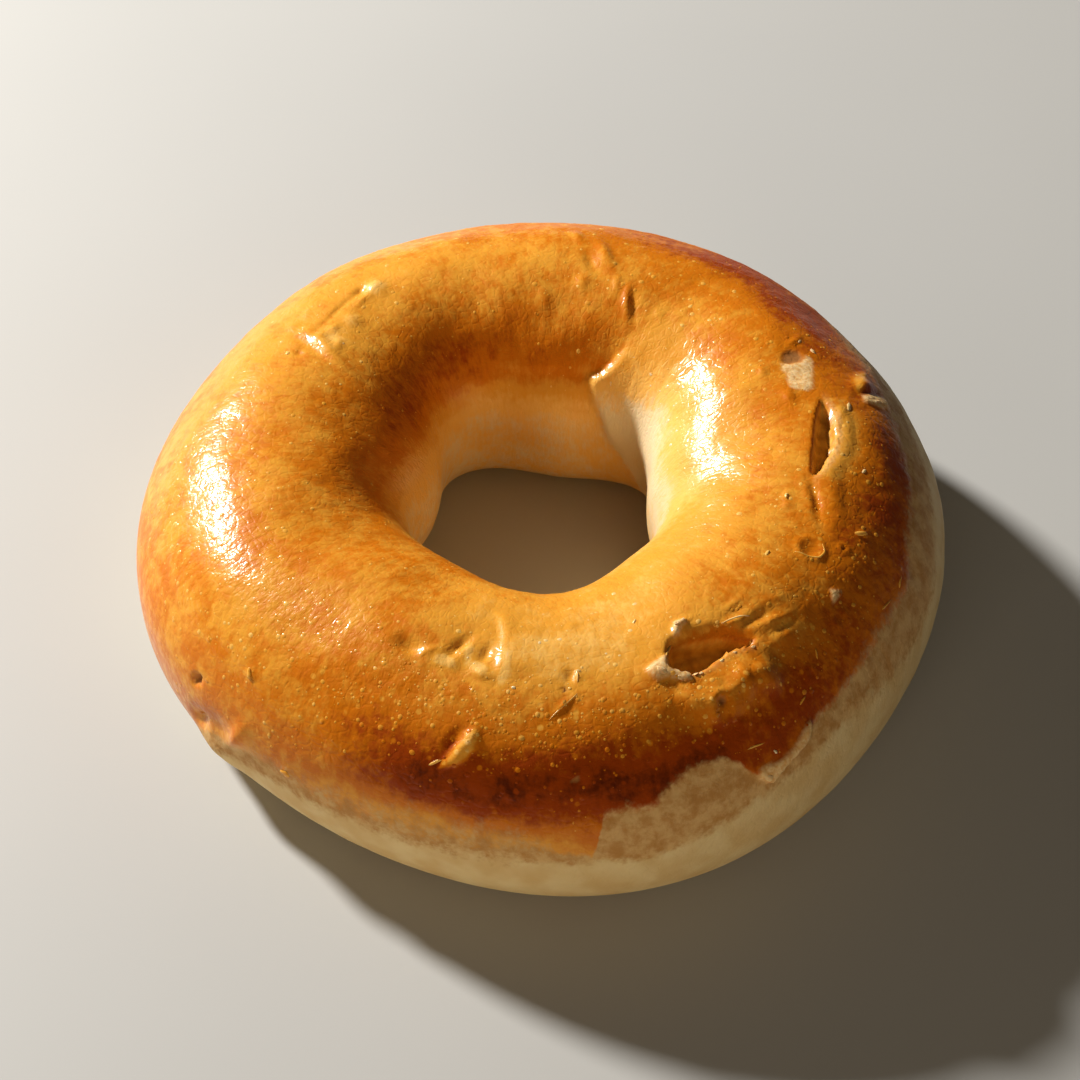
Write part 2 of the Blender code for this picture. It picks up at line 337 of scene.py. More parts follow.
def spot(skin, direction, across, turn, half_length, half_width, height):
    """How far one soft fold, dent or lump lifts the skin."""
    lengthways, sideways = skin.local(direction, across, turn)
    distance = np.hypot(lengthways / half_length, sideways / half_width)
    return height * np.exp(-1.3 * distance**2)


def ring_blister(skin, direction, across, radius, height, sink):
    lengthways, sideways = skin.local(direction, across)
    distance = np.hypot(lengthways, sideways) / radius
    return height * np.exp(-(((distance - 0.85) / 0.22) ** 2)) - sink * np.exp(-((distance / 0.6) ** 2))


def seam_lift(skin):
    """The overlapping end of the dough: a step at its edge, between a proud end and a sunk one, that
    fades out on both sides."""
    edge_places = np.array(SEAM_EDGE)
    edge = np.interp(-skin.across, -edge_places[:, 1], edge_places[:, 0])
    turn = turn_between(edge, skin.direction)
    inside = np.radians(turn) * skin.radius + skin.wander_along
    depth = smooth((-skin.across - SEAM_STARTS) / (SEAM_FULL - SEAM_STARTS))
    foot = smooth((skin.across - SEAM_EDGE[-1][1]) / SEAM_FOOT)
    step = smooth((inside + 0.4) / SEAM_STEP)
    proud = SEAM_PROUD_SHARE * (1.0 - smooth(turn / SEAM_FADE))
    sunk = (1.0 - SEAM_PROUD_SHARE) * (1.0 - smooth(-turn / SEAM_FADE))
    lift = SEAM_HEIGHT * depth * foot * (step * proud - (1.0 - step) * sunk)
    # the thin bright lip along the edge, from the crown down to the tip of the overlap
    lip = np.exp(-((inside - 0.6) ** 2) / 0.20) * smooth((-skin.across - 8.0) / 3.0)
    skin.over_seam = depth * (step * (1.0 - smooth(turn / 14.0)) - (1.0 - step) * (1.0 - smooth(-turn / 25.0)))
    return lift + 0.05 * lip * smooth((skin.across + 20.0) / 2.0)


def front_ridge_lift(skin):
    """One roll stands over the next: a step that falls away behind it."""
    places = np.array(FRONT_RIDGE)
    line = np.interp(skin.across, places[:, 1], places[:, 0])
    beyond = np.radians(turn_between(skin.direction, line)) * skin.radius + 0.6 * skin.wander_along
    ends = smooth((skin.across - places[0, 1]) / 3.0) * smooth((places[-1, 1] - skin.across) / 2.5)
    step = smooth((beyond + 1.0) / 1.1) * (1.0 - smooth(beyond / FRONT_RIDGE_FALL))
    return FRONT_RIDGE_HEIGHT * ends * step


def swell_lift(skin):
    room = smooth((SWELLS_END - np.abs(skin.across)) / (SWELLS_END - SWELLS_FADE))
    total = np.zeros_like(skin.across)
    for round_waves, cross_waves, height, crest in SWELLS:
        turn = round_waves * np.radians(skin.direction - crest) + 2.0 * math.pi * cross_waves * skin.across
        total += height * room * np.cos(turn)
    return total


def raise_skin(skin, lift):
    """Move the skin along its own facing by a height at each point, less near the flat base."""
    off_base = smooth(skin.smooth_place[..., 2] / 4.0)
    skin.place = skin.place + skin.smooth_facing * (lift * off_base)[..., None]


# ---------------------------------------------------------------- burst blisters

# Where two large blisters burst. Each has the edge of the crust that sank on the hole's side and the
# torn rim on the outer side, both as (direction, across) from end to end, then the length of the slope
# down to the first edge, the depth at that edge, the depth of the pocket, how far the rim overhangs it,
# how high the rim stands and how far out its crest is, how bare its edge is and how much paler its crest.
BURST_BLISTERS = (
    (
        ((291.6, 5.5), (292.4, 3.5), (294.0, 2.6), (296.7, 2.6), (299.2, 3.0), (302.8, 4.0), (306.0, 5.6),
         (308.6, 7.8)),
        ((291.6, 5.5), (294.1, 6.9), (295.5, 7.4), (297.8, 7.3), (300.6, 7.2), (302.4, 6.8), (304.8, 7.3),
         (306.6, 7.8), (308.6, 7.9)),
        2.0, 1.0, 2.9, 0.4, 1.15, 3.2, 0.12, -0.04,
    ),
    (
        ((349.4, 0.8), (351.8, 0.5), (356.2, 0.5), (360.8, 0.9), (365.2, 1.4), (369.8, 2.4), (373.2, 3.7)),
        ((349.4, 0.9), (351.4, 1.6), (354.3, 2.5), (357.8, 3.4), (361.2, 4.0), (364.6, 4.2), (368.2, 4.3),
         (371.1, 4.0), (373.2, 3.8)),
        0.35, 0.10, 1.9, 0.0, 0.14, 1.2, 0.42, 0.16,
    ),
)
RIM_WALL = 0.35
RIM_FALL = 1.5


def distance_to_line(along, across, line):
    """Shortest distance from each point to a line of joined places, all in millimetres."""
    nearest = np.full(along.shape, 1e9)
    for (x0, y0), (x1, y1) in zip(line, line[1:]):
        dx, dy = x1 - x0, y1 - y0
        share = np.clip(((along - x0) * dx + (across - y0) * dy) / (dx * dx + dy * dy), 0.0, 1.0)
        nearest = np.minimum(nearest, np.hypot(along - x0 - share * dx, across - y0 - share * dy))
    return nearest


def open_blister(
    skin, inner_edge, outer_edge, slope_length, lip_depth, depth, overhang, height, crest_at, bareness, paler
):
    """Sink the crust into one burst blister; gives back how much each point is in the slope, in the pocket,
    on the rim's bare edge and on its pale crest."""
    inner_places, outer_places = np.array(inner_edge), np.array(outer_edge)
    start, end = inner_places[0, 0], inner_places[-1, 0]
    middle, half = (start + end) / 2.0, (end - start) / 2.0
    turn = middle + turn_between(skin.direction, middle)
    ragged = 0.22 * layered_noise(skin.smooth_place, 1.3, SEED + 40)
    degree = math.radians(1.0) * float(section(np.array([middle]), np.array([75.0]))[0][0])
    line = [((direction - middle) * degree, across) for direction, across in inner_edge]
    from_inner = distance_to_line((turn - middle) * degree, skin.across - 0.5 * ragged, line)
    inner = np.interp(turn, inner_places[:, 0], inner_places[:, 1]) + 0.5 * ragged
    outer = np.interp(turn, outer_places[:, 0], outer_places[:, 1]) + ragged
    before_rim = outer - skin.across
    within = (np.abs(turn - middle) < half) & (skin.across > inner)
    ends = smooth(1.6 * (1.2 - np.abs(turn - middle) / half))
    slope_here = slope_length * (0.35 + 0.65 * smooth((turn - start) / 5.0))
    slope = np.where(within, 1.0, smooth(1.0 - from_inner / slope_here) ** 1.3) * ends
    pocket = np.where(within, smooth(from_inner / 1.1), 0.0)
    inside_rim = smooth(before_rim / RIM_WALL)
    crumbly = 1.0 + 0.12 * layered_noise(skin.smooth_place, 1.0, SEED + 42)
    sunk = (slope * lip_depth + pocket * (depth - lip_depth) * crumbly) * inside_rim
    # the wall under the outer rim is hollowed out, so that the rim overhangs it
    undercut = overhang * np.exp(-((before_rim - 0.7) ** 2) / 0.18) * pocket
    turned = np.radians(skin.direction)
    round_way = np.stack([-np.sin(turned), np.cos(turned), np.zeros_like(turned)], axis=-1)
    over_way = np.cross(round_way, skin.smooth_facing)
    uneven = 1.0 + 0.3 * layered_noise(skin.smooth_place, 2.2, SEED + 44)
    beyond = np.clip(-before_rim, 0.0, None) / crest_at
    profile = (2.0 * smooth(0.5 * beyond) + 0.2) / 1.2 * (1.0 - smooth((beyond - 1.0) / RIM_FALL))
    raised = height * uneven * profile * (1.0 - inside_rim) * ends
    skin.place = skin.place + skin.smooth_facing * (raised - sunk)[..., None] + over_way * undercut[..., None]
    outside = -before_rim
    edge = smooth((outside + 0.15) / 0.3) * (1.0 - smooth((outside - 0.6) / 0.7))
    edge *= bareness * ends * smooth(1.5 * uneven - 0.6)
    crest = paler * ends * np.exp(-(((outside - 1.6) / 2.0) ** 2)) * (1.0 - inside_rim)
    bare = np.where(within, smooth(from_inner / 0.45), 0.0)
    return slope * inside_rim, bare * inside_rim, edge, crest


# ---------------------------------------------------------------- torn places

# Where the crust tore or peeled: what shows there, how far it is lifted, how soft its edge is in
# millimetres, and its outline as (direction, across)
TORN_OUTLINES = (
    # the pale wedge and ledge at the left end of the front blister, and a bit on its upper edge
    ("crumb", 0.40, 0.50, (
        (292.7, 3.3), (290.6, 3.7), (288.6, 4.2), (287.7, 4.8), (288.8, 6.5), (290.8, 6.5), (292.8, 7.6),
        (294.3, 8.1), (294.4, 6.9), (293.2, 6.3), (291.5, 5.4))),
    ("crumb", 0.40, 0.30, (
        (295.4, 1.4), (296.0, 0.4), (297.0, -0.3), (298.8, -0.1), (299.0, 0.6), (297.6, 0.8), (296.4, 1.5))),
    # the torn patch beyond the right-hand blister, with a shallow pocket above it
    ("pocket", -0.30, 0.80, (
        (26.2, 0.9), (27.6, 1.6), (27.9, 2.7), (27.1, 3.7), (25.4, 4.0), (24.3, 3.4), (24.4, 1.7), (25.4, 0.8))),
    ("crumb", 0.05, 0.45, (
        (25.1, 0.5), (24.3, 1.6), (24.6, 3.7), (25.6, 4.6), (24.3, 5.2), (20.2, 4.0), (16.1, 3.0), (15.4, 2.0),
        (16.9, 0.0), (18.8, 0.0), (21.0, 0.3), (23.2, 0.0))),
    # the blister beyond its rim: a pale flank, a sunk side with painted shade and a torn foot
    ("peeled", 0.10, 1.20, (
        (19.2, 10.2), (20.8, 11.9), (21.8, 13.8), (19.8, 13.0), (15.4, 10.4), (14.9, 9.3), (17.4, 9.5))),
    # painted shade: the blister's sunk side, which faces away from the light, is made browner
    ("sunk_painted_shade", -0.15, 1.20, (
        (19.3, 12.6), (18.9, 14.2), (16.2, 14.2), (14.8, 12.6), (14.2, 10.5), (15.1, 10.2), (17.6, 11.4))),
    ("crumb", 0.30, 0.60, (
        (14.1, 10.1), (15.1, 13.1), (14.9, 14.9), (12.9, 14.3), (11.8, 12.7), (12.0, 11.1), (12.3, 9.8))),
    # the strip along the lifted corner of the crust
    ("crumb", 0.40, 0.35, (
        (309.4, 20.0), (307.5, 20.6), (306.1, 21.2), (304.3, 21.8), (302.2, 22.2), (300.1, 21.6), (299.2, 21.9),
        (299.0, 23.1), (300.8, 24.3), (302.1, 23.8), (304.1, 22.9), (306.8, 22.2), (308.6, 22.1))),
    # a thin flake beyond the front blister
    ("crumb", 0.20, 0.35, ((326.5, 9.5), (327.8, 10.9), (324.6, 11.1))),
    # peeled bits on the front
    ("thin", 0.25, 0.90, (
        (259.9, 11.0), (258.3, 12.5), (256.8, 14.5), (255.4, 17.0), (257.8, 16.2), (259.8, 14.0),
        (260.1, 12.4))),
    ("peeled", 0.08, 0.90, (
        (254.4, 1.2), (255.6, 0.2), (256.4, 1.2), (256.2, 3.4), (257.6, 4.4), (259.2, 4.8), (259.6, 3.4),
        (258.4, 2.8), (257.2, 2.6), (255.6, 3.4))),
    ("peeled", 0.05, 0.90, ((262.0, 0.0), (263.4, 0.4), (264.2, 3.8), (262.6, 5.2), (261.6, 4.4), (262.4, 2.2))),
    ("peeled", 0.15, 0.80, ((249.6, 3.6), (251.5, 3.0), (253.3, 3.2), (254.0, 4.4), (252.0, 4.6), (250.0, 4.8))),
)
# How much browner the crust is where it only thinned, and painted shade, browner, on the sunk side of a blister
BROWNING_AND_PAINTED_SHADE_BY = {"peeled": -0.25, "thin": -0.36, "sunk_painted_shade": 0.10}
# Small deep pits: (direction, across, turn, half length, half width, depth)
PITS = (
    (297.1, 12.2, 0.0, 0.7, 0.6, 0.5),
    (213.5, 24.2, -55.0, 1.5, 0.65, 0.9),
    (273.4, 5.3, 0.0, 0.4, 0.3, 0.3),
    (274.1, 16.9, 0.0, 0.5, 0.45, 0.3),
)


def outline_share(skin, softness, outline):
    """1 inside a closed outline and 0 outside it, with a soft edge."""
    middle_direction, middle_across = np.mean(outline, axis=0)
    away = np.hypot(turn_between(skin.direction, middle_direction), skin.across - middle_across)
    degree = math.radians(1.0) * skin.radius.reshape(-1)[np.argmin(away)]
    along = turn_between(skin.direction, middle_direction) * degree + 0.4 * skin.wander_along
    over = skin.across + 0.4 * skin.wander_over
    line = [((direction - middle_direction) * degree, across) for direction, across in outline + outline[:1]]
    inside = np.zeros(along.shape, bool)
    for (x0, y0), (x1, y1) in zip(line, line[1:]):
        if y0 != y1:
            spans = (y0 <= over) != (y1 <= over)
            inside ^= spans & (along < x0 + (over - y0) * (x1 - x0) / (y1 - y0))
    depth = np.where(inside, 1.0, -1.0) * distance_to_line(along, over, line)
    return smooth(depth / softness + 0.5)


def patch_share(skin, direction, across, turn, half_length, half_width):
    lengthways, sideways = skin.local(direction, across, turn)
    ragged = 0.30 * layered_noise(skin.smooth_place, 1.5, SEED + 60)
    return smooth((1.0 - np.hypot(lengthways / half_length, sideways / half_width) + ragged) / 0.3)


# ---------------------------------------------------------------- browning, with painted light and shade

# How brown the crust baked, from 0, pale dough, to 1, darkest: patches over an even golden brown as
# (direction, across, half size round the ring in degrees, half size across it, added browning).
# Three of the patches are painted light and painted shade, each marked where it stands.
EVEN_BROWNING = 0.56
BROWNING_AND_PAINTED_LIGHT_PATCHES = (
    (325.0, 14.0, 55.0, 7.0, 0.14),
    # painted light: paler where the front blister's raised rim throws its shadow
    (308.0, 10.0, 24.0, 5.0, -0.12),
    (275.0, 18.5, 36.0, 5.5, 0.32),
    (46.0, 10.0, 26.0, 6.0, 0.25),
    (192.0, 12.0, 42.0, 9.0, -0.07),
    (352.0, 12.0, 20.0, 5.0, 0.10),
    (338.0, 8.0, 8.0, 3.0, 0.08),
    (250.0, 21.0, 12.0, 3.5, 0.10),
    (274.0, -1.0, 26.0, 6.0, -0.20),
    (243.0, 13.0, 14.0, 6.0, 0.03),
    (235.0, 18.5, 10.0, 4.0, -0.10),
    (140.0, 8.0, 30.0, 8.0, -0.06),
    (300.0, -12.0, 50.0, 8.0, -0.14),
    (10.0, -18.0, 45.0, 9.0, -0.22),
    (120.0, -2.0, 40.0, 5.0, -0.06),
    # painted shade: browner high on the hole's far wall, which faces away from the light
    (130.0, -15.0, 55.0, 6.0, 0.14),
    # painted light: paler on the hole's wall past the seam, where the light only grazes it
    (48.0, -20.0, 20.0, 9.0, -0.26),
    (262.0, 25.5, 24.0, 3.2, -0.18),
    (127.8, 1.0, 2.6, 1.3, -0.30),
    (138.0, -0.6, 2.2, 1.1, -0.18),
    (145.0, -0.6, 3.5, 1.6, -0.16),
)
HOLE_PALE_FROM = -15.0
HOLE_PALE_TO = -27.0


def browning_and_painted_light(skin):
    brown = patched(skin, EVEN_BROWNING, BROWNING_AND_PAINTED_LIGHT_PATCHES)
    hole = smooth((skin.across - HOLE_PALE_FROM) / (HOLE_PALE_TO - HOLE_PALE_FROM))
    brown -= 0.42 * hole + 0.12 * skin.over_seam
    brown += 0.06 * layered_noise(skin.smooth_place, 9.0, SEED + 80)
    return np.clip(brown, 0.0, 1.0)


# How strongly the glaze wrinkled, in the same way
EVEN_WRINKLES = 0.32
WRINKLE_PATCHES = (
    (218.0, 8.0, 34.0, 8.0, 0.9),
    (315.0, 26.0, 40.0, 7.0, 0.6),
    (185.0, 8.0, 25.0, 6.0, 0.3),
    (330.0, -8.0, 40.0, 7.0, 0.3),
    (270.0, -4.0, 25.0, 6.0, -0.25),
)


def patched(skin, even, patches):
    """An even amount with soft oval patches of more or less."""
    total = np.full_like(skin.across, even)
    for direction, across, round_size, cross_size, amount in patches:
        turn = turn_between(skin.direction, direction)
        total += amount * np.exp(-((turn / round_size) ** 2) - ((skin.across - across) / cross_size) ** 2)
    return total


# Where soft pale spots, the flattest of the tiny blisters, show most, in the same way
EVEN_SPOTS = 0.12
SPOT_PATCHES = ((288.0, 13.0, 34.0, 6.0, 0.9), (245.0, 12.0, 35.0, 7.0, 0.5), (335.0, 8.0, 40.0, 7.0, 0.5))

# Where the egg wash was brushed too thin to shine, in the same way
UNGLAZED_PATCHES = (
    (55.0, 14.5, 45.0, 5.5, 0.9), (110.0, 16.0, 40.0, 5.0, 0.6), (305.0, 16.0, 55.0, 5.0, 0.7),
    (200.0, 22.0, 40.0, 6.0, 0.6),
)


# ---------------------------------------------------------------- the bread


def bake_skin():
    """The whole skin of the bagel with its relief, and the shares that colour it."""
    skin = Skin()
    lift = sum(spot(skin, *values) for values in FOLDS + DENTS + LUMPS)
    lift += sum(ring_blister(skin, *values) for values in RING_BLISTERS)
    lift += swell_lift(skin) + seam_lift(skin) + front_ridge_lift(skin)

    # fine wrinkles that run down into the hole, and the crust's own unevenness
    turned = np.radians(skin.direction)
    streaks = np.stack([30.0 * np.cos(turned), 30.0 * np.sin(turned), skin.across * 0.22], axis=-1)
    near_hole = smooth((-skin.across - 1.0) / 5.0) * smooth((skin.across + 24.0) / 8.0)
    lift += 0.08 * near_hole * layered_noise(streaks, 1.6, SEED + 10)
    upper = smooth((26.0 - skin.across) / 6.0) * smooth((skin.across + 22.0) / 8.0)
    lift += 0.10 * upper * layered_noise(skin.smooth_place, 3.2, SEED + 20)
    lift += 0.06 * upper * layered_noise(skin.smooth_place, 1.1, SEED + 24)

    # the crust ends in a small step over the pale side, highest where it has lifted
    wander = 0.45 * layered_noise(skin.smooth_place, 2.2, SEED + 30)
    past_crust = past_edge(CRUST_EDGE, skin.direction, skin.across, wander)
    past_skin = past_edge(SKIN_EDGE, skin.direction, skin.across, 2.0 * wander)
    lifted = np.exp(-((turn_between(skin.direction, 303.5) / 5.5) ** 4))
    ledge = (0.08 + 0.65 * lifted) * np.exp(-np.clip(-past_crust, 0.0, None) / (2.0 + 6.0 * lifted))
    lift += np.where(skin.across > 0.0, ledge * (1.0 - smooth((past_crust + 0.3) / 0.8)), 0.0)
    side = smooth(past_crust) * smooth((40.0 - skin.across) / 4.0)
    drawn = np.stack([skin.smooth_place[..., 0], skin.smooth_place[..., 1], skin.across * 3.0], axis=-1)
    lift += 0.16 * side * layered_noise(drawn, 7.0, SEED + 36)

    crumb = np.zeros_like(skin.across)
    pits = np.zeros_like(skin.across)
    brown = browning_and_painted_light(skin)
    rough = 0.12 * layered_noise(skin.smooth_place, 0.9, SEED + 50)
    for shows, raised, softness, outline in TORN_OUTLINES:
        share = outline_share(skin, softness, outline)
        lift += share * (raised + rough)
        if shows == "crumb":
            crumb = np.maximum(crumb, share)
        elif shows == "pocket":
            pits = np.maximum(pits, share)
        else:
            brown += share * BROWNING_AND_PAINTED_SHADE_BY[shows]
    for direction, across, turn, half_length, half_width, depth in PITS:
        share = patch_share(skin, direction, across, turn, half_length, half_width)
        lift -= share * depth
        pits = np.maximum(pits, share)
    raise_skin(skin, lift)

    hollow = np.zeros_like(skin.across)
    for blister in BURST_BLISTERS:
        slope, pocket, edge, crest = open_blister(skin, *blister)
        hollow = np.maximum(hollow, pocket)
        crumb = np.maximum(crumb, edge)
        # painted shade: the slope down into each blister is made 0.14 browner, as it falls away from the light; the
        # rim's crest is made paler
        brown += 0.14 * slope * (1.0 - pocket) - crest
    skin.find_facing()
    skin.shares = {
        "browning_and_painted_light": np.clip(brown, 0.0, 1.0),
        "past_crust": past_crust,
        "past_skin": past_skin,
        "crumb": crumb * (1.0 - pits),
        "hollow": hollow,
        "wrinkled": patched(skin, EVEN_WRINKLES, WRINKLE_PATCHES),
        "spotted": np.clip(patched(skin, EVEN_SPOTS, SPOT_PATCHES), 0.0, 1.0),
        "pit": pits,
        "unglazed": np.clip(patched(skin, 0.0, UNGLAZED_PATCHES), 0.0, 1.0),
    }
    return skin


def fit_to_cad(skin):
    """Stand the skin in the CAD bagel's place: the same middle, with its base on the floor."""
    low, high = (np.array(corner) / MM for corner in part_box("bagel"))
    flat = skin.place.reshape(-1, 3)
    shift = (low + high) / 2.0 - (flat.min(axis=0) + flat.max(axis=0)) / 2.0
    shift[2] = low[2] - flat[:, 2].min()
    skin.place = skin.place + shift


def mesh_piece(name, points, faces, material):
    """An object from points in millimetres."""
    mesh = bpy.data.meshes.new(name)
    mesh.from_pydata([tuple(point) for point in np.asarray(points) * MM], [], faces)
    mesh.validate()
    mesh.materials.append(material)
    mesh.shade_smooth()
    piece = bpy.data.objects.new(name, mesh)
    bpy.context.scene.collection.objects.link(piece)
    return piece


def add_share(piece, name, values):
    layer = piece.data.attributes.new(name, "FLOAT", "POINT")
    layer.data.foreach_set("value", values.reshape(-1).astype(np.float32))


def bread_piece(skin, material):
    columns, rows = skin.across.shape
    index = np.arange(columns * rows).reshape(columns, rows)
    beside = np.roll(index, -1, axis=0)
    corners = [index, beside, np.roll(beside, -1, axis=1), np.roll(index, -1, axis=1)]
    faces = np.stack(corners, axis=-1).reshape(-1, 4)
    piece = mesh_piece("bagel_bread", skin.place.reshape(-1, 3), faces.tolist(), material)
    for name, values in skin.shares.items():
        add_share(piece, name, values)
    turned = np.radians(skin.direction)
    over_ring = np.stack([36.0 * np.cos(turned), 36.0 * np.sin(turned), skin.across], axis=-1) * MM
    layer = piece.data.attributes.new("over_ring", "FLOAT_VECTOR", "POINT")
    layer.data.foreach_set("vector", over_ring.reshape(-1).astype(np.float32))
    return piece


# ---------------------------------------------------------------- pinhead blisters

# Tiny blisters all over the crust, thickest on the front: (direction, across, half size round the ring in
# degrees, half size across it, how many times the even number)
PINHEADS = 3000
PINHEAD_PATCHES = (
    (276.0, 10.5, 22.0, 3.5, 7.0), (245.0, 12.0, 40.0, 7.0, 3.0), (320.0, 8.0, 50.0, 7.0, 2.0),
    (195.0, 12.0, 30.0, 8.0, 1.0), (20.0, -6.0, 40.0, 8.0, 1.5), (300.0, 14.0, 30.0, 5.0, 2.0),
)
PINHEAD_RADIUS = 0.16
PINHEAD_SPREAD = 0.5
PINHEAD_LIMITS = (0.08, 0.42)
PINHEAD_SIDES = 7


def pinhead_piece(skin, material):
    chance = np.random.default_rng(SEED + 90)
    many = patched(skin, 1.0, PINHEAD_PATCHES)
    bare = np.clip(skin.shares["hollow"] + skin.shares["crumb"] + skin.shares["pit"], 0.0, 1.0)
    many *= smooth(-0.5 * (skin.shares["past_crust"] + 1.0)) * (1.0 - bare) * smooth((skin.across + 24.0) / 8.0)
    side = np.roll(skin.place, -1, axis=0) - skin.place
    down = np.roll(skin.place, -1, axis=1) - skin.place
    many *= np.linalg.norm(np.cross(side, down), axis=-1)
    many[:, -ROWS_UNDER - 1 :] = 0.0
    share = (many / many.sum()).reshape(-1)
    cell = chance.choice(len(share), PINHEADS, p=share)
    column, row = np.unravel_index(cell, many.shape)
    slip, drop = chance.uniform(0.0, 1.0, (2, PINHEADS, 1))
    middle = skin.place[column, row] + slip * side[column, row] + drop * down[column, row]
    up = skin.facing[column, row]
    first = side[column, row] / np.linalg.norm(side[column, row], axis=-1, keepdims=True)
    second = np.cross(up, first)
    radius = PINHEAD_RADIUS * np.exp(PINHEAD_SPREAD * chance.standard_normal((PINHEADS, 1)))
    radius = np.clip(radius, *PINHEAD_LIMITS)
    stretch = chance.uniform(0.8, 1.25, (PINHEADS, 1))
    points = []
    for reach, lift in ((1.0, -0.08), (0.62, 0.09)):
        for corner in range(PINHEAD_SIDES):
            turned = 2.0 * math.pi * corner / PINHEAD_SIDES
            across_dome = first * math.cos(turned) * stretch + second * math.sin(turned)
            points.append(middle + radius * (reach * across_dome + lift * up))
    points.append(middle + radius * 0.13 * up)
    points = np.stack(points, axis=1)
    faces = []
    for dome in range(PINHEADS):
        start = dome * (2 * PINHEAD_SIDES + 1)
        for corner in range(PINHEAD_SIDES):
            after = (corner + 1) % PINHEAD_SIDES
            lower, upper = start + corner, start + PINHEAD_SIDES + corner
            next_lower, next_upper = start + after, start + PINHEAD_SIDES + after
            faces.append((lower, next_lower, next_upper, upper))
            faces.append((upper, next_upper, start + 2 * PINHEAD_SIDES))
    piece = mesh_piece("pinhead_blisters", points.reshape(-1, 3), faces, material)
    paler = {"browning_and_painted_light": skin.shares["browning_and_painted_light"][column, row] - chance.uniform(0.0, 0.26, PINHEADS)}
    paler["past_crust"] = np.full(PINHEADS, -5.0)
    paler["past_skin"] = np.full(PINHEADS, -5.0)
    for name, values in paler.items():
        add_share(piece, name, np.repeat(values, 2 * PINHEAD_SIDES + 1))
    return piece


# ---------------------------------------------------------------- torn crumb and flakes of crust

# Rough lumps of open crumb: (direction, across, turn, half length, half width, half height)
CRUMB_LUMPS = (
    (295.3, 7.5, 20.0, 0.45, 0.30, 0.20), (296.2, 7.7, 0.0, 0.30, 0.22, 0.16), (300.7, 7.5, 0.0, 0.32, 0.22, 0.15),
    (303.5, 7.5, 30.0, 0.30, 0.20, 0.14), (306.8, 8.2, 10.0, 0.35, 0.22, 0.15), (290.0, 5.6, 40.0, 0.7, 0.4, 0.18),
    (292.6, 7.3, 30.0, 0.5, 0.3, 0.15), (297.3, 0.3, 10.0, 0.6, 0.3, 0.16),
    (13.2, 12.2, 62.0, 0.8, 0.4, 0.15),
    (300.2, 23.2, 20.0, 0.6, 0.4, 0.15), (26.6, 6.0, 0.0, 0.5, 0.3, 0.15), (29.8, 5.0, 60.0, 0.5, 0.25, 0.12),
)
# Thin lips where the crust stands off: ((direction, across) along it, half width, half thickness, how far
# its middle stands off the skin, browning)
CRUST_LIPS = (
    (((305.0, 3.3), (306.7, 3.5), (308.8, 4.0), (310.4, 4.8)), 0.13, 0.09, 0.0, 0.16),
    (((275.4, 5.9), (273.6, 7.1), (271.9, 8.2), (270.6, 9.3)), 0.08, 0.06, 0.0, 0.20),
    (((275.7, 2.5), (275.8, 3.4), (275.6, 4.4)), 0.16, 0.12, 0.0, 0.20),
    (((292.0, 3.8), (293.0, 2.9), (294.4, 2.1)), 0.20, 0.12, 0.0, 0.30),
    (((329.0, 2.9), (329.6, 4.6), (330.6, 6.0), (332.6, 6.2), (334.2, 5.2)), 0.16, 0.06, 0.0, 0.38),
)
# Loose flakes and thin flat blisters: (direction, across, turn, half length, half width, browning)
FLAKES = (
    (340.4, 9.2, 60.0, 0.9, 0.4, 0.40), (232.4, 27.4, 0.0, 0.8, 0.5, 0.40),
    (222.2, 17.4, 60.0, 0.7, 0.4, 0.42), (264.7, 5.3, 0.0, 0.28, 0.25, 0.05), (302.4, 20.8, 70.0, 0.35, 0.2, 0.0),
    (10.2, 7.0, 20.0, 1.1, 0.3, 0.15), (343.2, -1.8, 0.0, 0.5, 0.25, 0.20), (324.8, 0.3, -10.0, 0.7, 0.25, 0.25),
    (354.6, 7.8, 30.0, 0.5, 0.25, 0.10), (254.6, 16.6, -35.0, 1.1, 0.2, 0.25), (299.8, 18.9, 5.0, 1.4, 0.15, 0.36),
    (309.5, 17.4, -20.0, 0.9, 0.15, 0.40), (290.0, -3.6, -50.0, 0.5, 0.2, 0.15), (153.7, 3.8, -40.0, 0.5, 0.3, 0.20),
    (332.5, 17.0, 10.0, 1.3, 0.16, 0.38), (338.0, 17.2, -15.0, 1.1, 0.15, 0.38), (316.0, 14.0, -60.0, 0.8, 0.15, 0.42),
)
RIPPLE = 0.16


def dome_points(skin, direction, across, turn, half_sizes, sunk, sides, rings, chance):
    """Points of one rough dome on the skin, a ring of corners at a time and then its top."""
    place, up = skin.at(direction, across)
    around = np.array([-math.sin(math.radians(direction)), math.cos(math.radians(direction)), 0.0])
    outwards = np.cross(around, up)
    along = around * math.cos(math.radians(turn)) + outwards * math.sin(math.radians(turn))
    beside = np.cross(up, along)
    wave = chance.uniform(-1.0, 1.0, (3, 2))
    points = []
    for ring in range(rings):
        rise = math.radians(90.0 * ring / rings)
        for corner in range(sides):
            turned = 2.0 * math.pi * corner / sides
            rough = 1.0 + RIPPLE * sum(
                a * math.cos(n * turned + 2.0 * b * ring) for n, (a, b) in zip((2, 3, 5), wave)
            )
            reach = rough * math.cos(rise)
            flat = along * (half_sizes[0] * reach * math.cos(turned))
            flat = flat + beside * (half_sizes[1] * reach * math.sin(turned))
            points.append(place + flat + up * (half_sizes[2] * (math.sin(rise) * rough - sunk)))
    points.append(place + up * half_sizes[2] * (1.0 - sunk))
    return points


